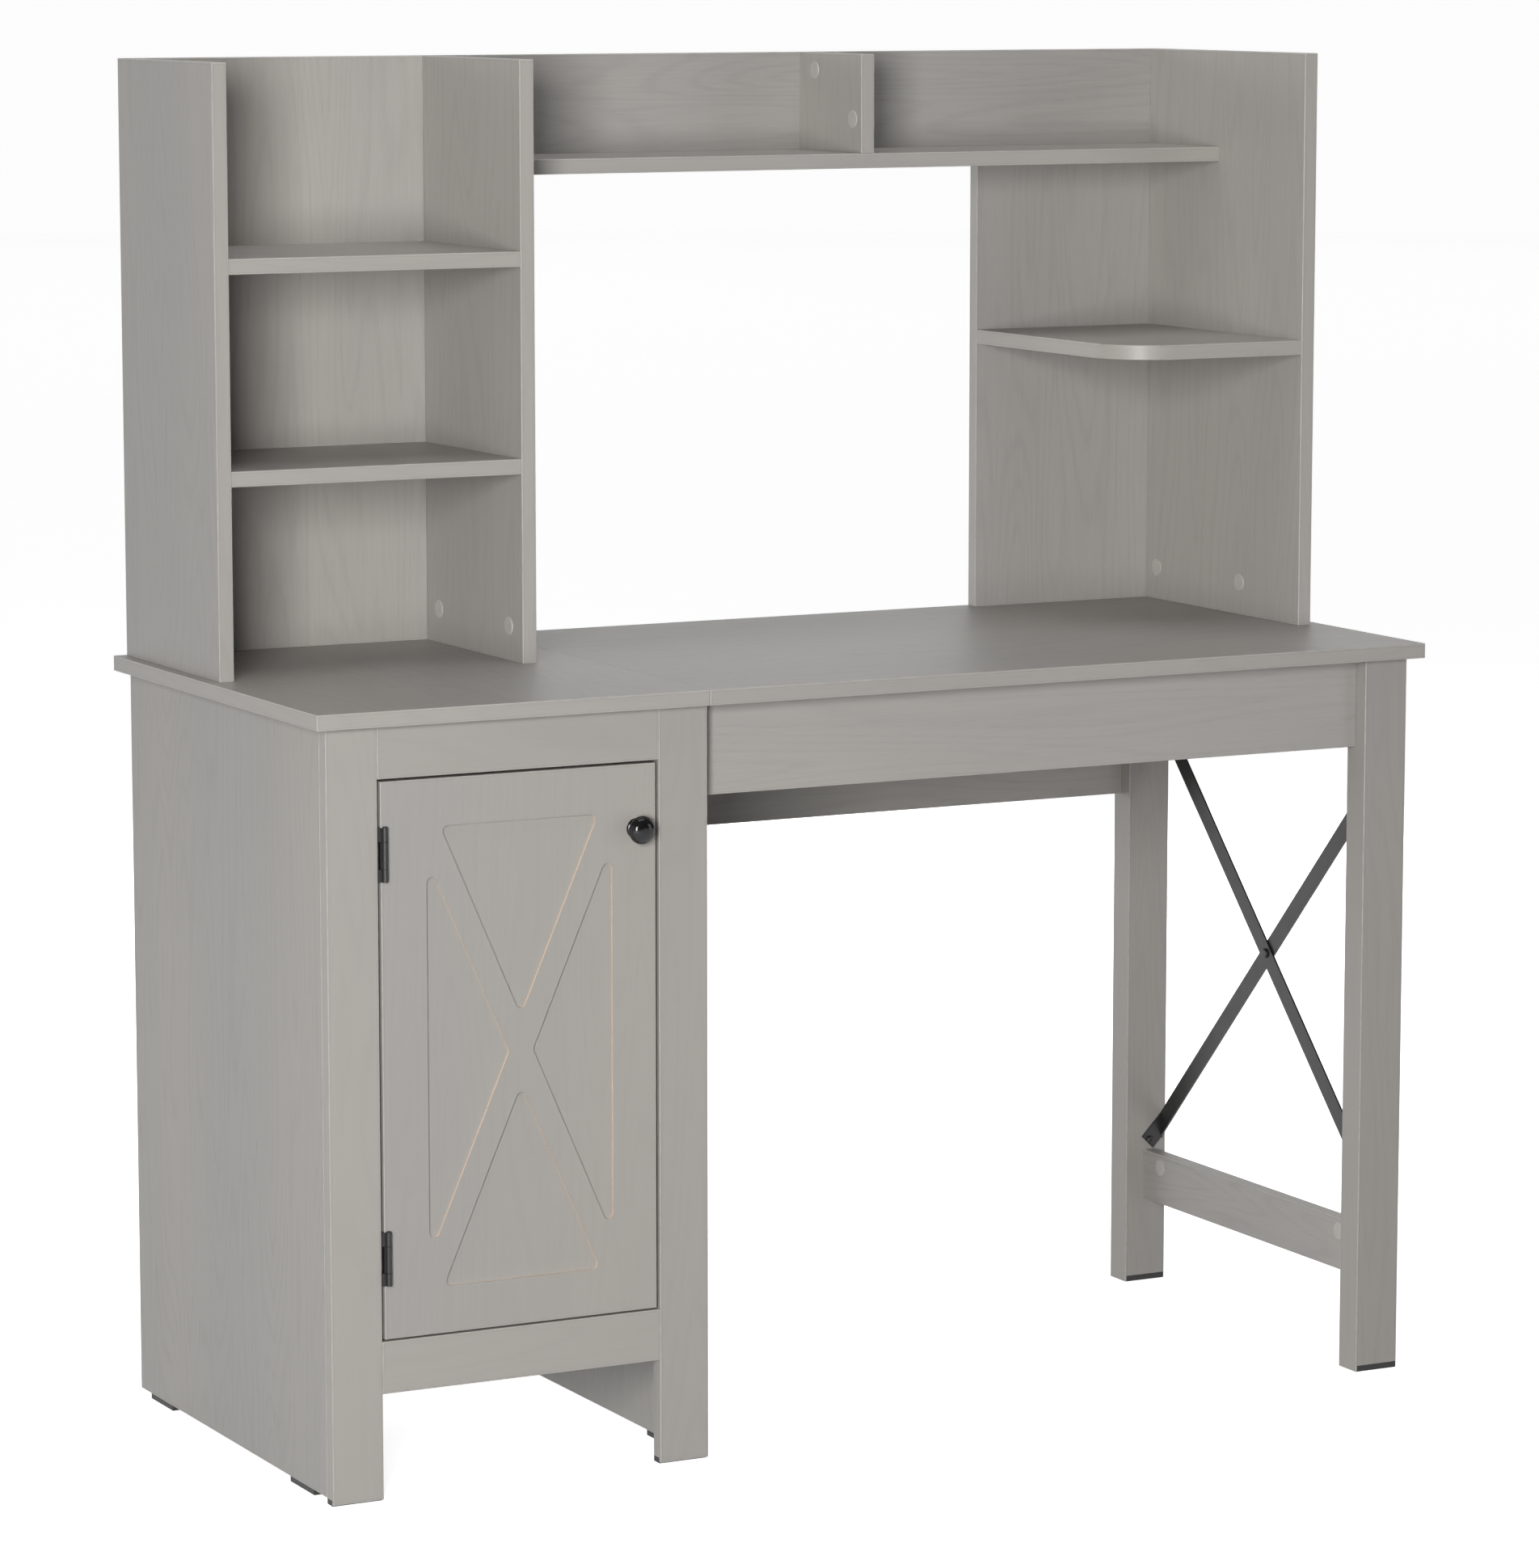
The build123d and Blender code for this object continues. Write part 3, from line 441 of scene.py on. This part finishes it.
def staged(name, build, material):
    mesh = bpy.data.meshes.new(name)
    build.to_mesh(mesh)
    build.free()
    mesh.materials.append(material)
    made = bpy.data.objects.new(name, mesh)
    bpy.context.scene.collection.objects.link(made)
    made.visible_diffuse = False
    return made


def floor_disc():
    build = bmesh.new()
    bmesh.ops.create_circle(build, cap_ends=True, segments=2 * HALF_STEPS, radius=FLOOR_RADIUS)
    return build


def half_wall(start):
    """Half of the round wall, from the angle start."""
    build = bmesh.new()
    foot = []
    for step in range(HALF_STEPS + 1):
        turn = start + math.pi * step / HALF_STEPS
        foot.append(build.verts.new((FLOOR_RADIUS * math.cos(turn), FLOOR_RADIUS * math.sin(turn), 0.0)))
    for one, other in zip(foot, foot[1:]):
        build.edges.new((one, other))
    wall = bmesh.ops.extrude_edge_only(build, edges=build.edges)["geom"]
    raised = [found for found in wall if isinstance(found, bmesh.types.BMVert)]
    bmesh.ops.translate(build, vec=(0, 0, WALL_HEIGHT), verts=raised)
    return build


staged("floor", floor_disc(), glowing("floor_pale", albedo=0.80, glow=0.86))
for name, start in (("backdrop_behind", 0.0), ("backdrop_front", math.pi)):
    half = staged(name, half_wall(start), glowing(name + "_pale", albedo=0.20, glow=0.96))
    # of the wall, reflections show only the half behind the piece
    half.visible_glossy = name == "backdrop_behind"

# ---- the room: dark below and brighter towards the ceiling ----
# each stop is a height, from 0 straight down to 1 straight up, and the brightness there
ROOM_STOPS = ((0.0, 0.02), (0.50, 0.03), (0.60, 0.04), (0.78, 0.10), (1.0, 0.10))
ROOM_BLUE = 1.005


def room():
    world = bpy.data.worlds.new("studio")
    bpy.context.scene.world = world
    world.use_nodes = True
    tree = world.node_tree
    tree.nodes.clear()
    direction = tree.nodes.new("ShaderNodeTexCoord")
    axes = tree.nodes.new("ShaderNodeSeparateXYZ")
    walls = tree.nodes.new("ShaderNodeValToRGB")
    glow = tree.nodes.new("ShaderNodeBackground")
    out = tree.nodes.new("ShaderNodeOutputWorld")
    rise = tree.nodes.new("ShaderNodeMapRange")
    rise.inputs["From Min"].default_value = -1.0
    tree.links.new(direction.outputs["Generated"], axes.inputs[0])
    tree.links.new(axes.outputs["Z"], rise.inputs["Value"])
    tree.links.new(rise.outputs[0], walls.inputs["Fac"])
    tree.links.new(walls.outputs["Color"], glow.inputs["Color"])
    tree.links.new(glow.outputs[0], out.inputs["Surface"])
    while len(walls.color_ramp.elements) < len(ROOM_STOPS):
        walls.color_ramp.elements.new(0.5)
    for stop, (height, bright) in zip(walls.color_ramp.elements, ROOM_STOPS):
        stop.position = height
        stop.color = (bright, bright, bright * ROOM_BLUE, 1.0)
    glow.inputs["Strength"].default_value = 1.0


room()

# ---- soft lights: one broad key on the left, weaker fills all round ----
middle = (cad_low + cad_high) / 2


def softbox(name, azimuth, rise, distance, size, power, tint=WHITE):
    """An area light aimed at the middle of the piece; azimuth 0 is in front, 90 on the user's left."""
    width, height = size
    data = bpy.data.lights.new(name, "AREA")
    data.shape = "RECTANGLE"
    data.size = width
    data.size_y = height
    data.energy = power
    data.color = tint
    lamp = bpy.data.objects.new(name, data)
    turn, lift = math.radians(azimuth), math.radians(rise)
    away = Vector((-math.sin(turn) * math.cos(lift), -math.cos(turn) * math.cos(lift), math.sin(lift)))
    lamp.location = middle + away * distance
    lamp.rotation_euler = (-away).to_track_quat("-Z", "Y").to_euler()
    bpy.context.scene.collection.objects.link(lamp)
    return lamp


softbox("key", azimuth=36.5, rise=8, distance=4.8, size=(1.2, 1.8), power=212, tint=(1.0, 0.992, 0.98))
softbox("side", azimuth=75, rise=8, distance=3.6, size=(1.2, 1.8), power=7, tint=(0.98, 0.985, 1.0))
softbox("right", azimuth=-45, rise=8, distance=4.0, size=(1.5, 1.8), power=14)
softbox("top", azimuth=0, rise=85, distance=3.2, size=(2.2, 2.2), power=34)
for name, azimuth in (("back_left", 168), ("back_right", 215)):
    behind = softbox(name, azimuth, rise=8, distance=4.0, size=(1.8, 1.8), power=58)
    behind.visible_glossy = False


# ---- camera: a long lens a little above the hutch, looking down and to the right ----
def look_from(eye, yaw, pitch, focal_length):
    """The scene's camera; yaw turns it from +Y towards +X, and a pitch below 0 looks down."""
    turn, lift = math.radians(yaw), math.radians(pitch)
    ahead = Vector((math.sin(turn) * math.cos(lift), math.cos(turn) * math.cos(lift), math.sin(lift)))
    right = Vector((math.cos(turn), -math.sin(turn), 0.0))
    up = right.cross(ahead)
    lens = bpy.data.cameras.new("camera")
    lens.sensor_width = 36.0
    lens.lens = focal_length
    lens.clip_end = 200.0
    camera = bpy.data.objects.new("camera", lens)
    camera.matrix_world = Matrix.Translation(eye) @ Matrix((right, up, -ahead)).transposed().to_4x4()
    bpy.context.scene.collection.objects.link(camera)
    bpy.context.scene.camera = camera


look_from(eye=Vector((-2.66837, -5.12799, 1.44784)), yaw=27.4156, pitch=-8.2045, focal_length=133.659)
bpy.context.scene.view_settings.view_transform = "Standard"
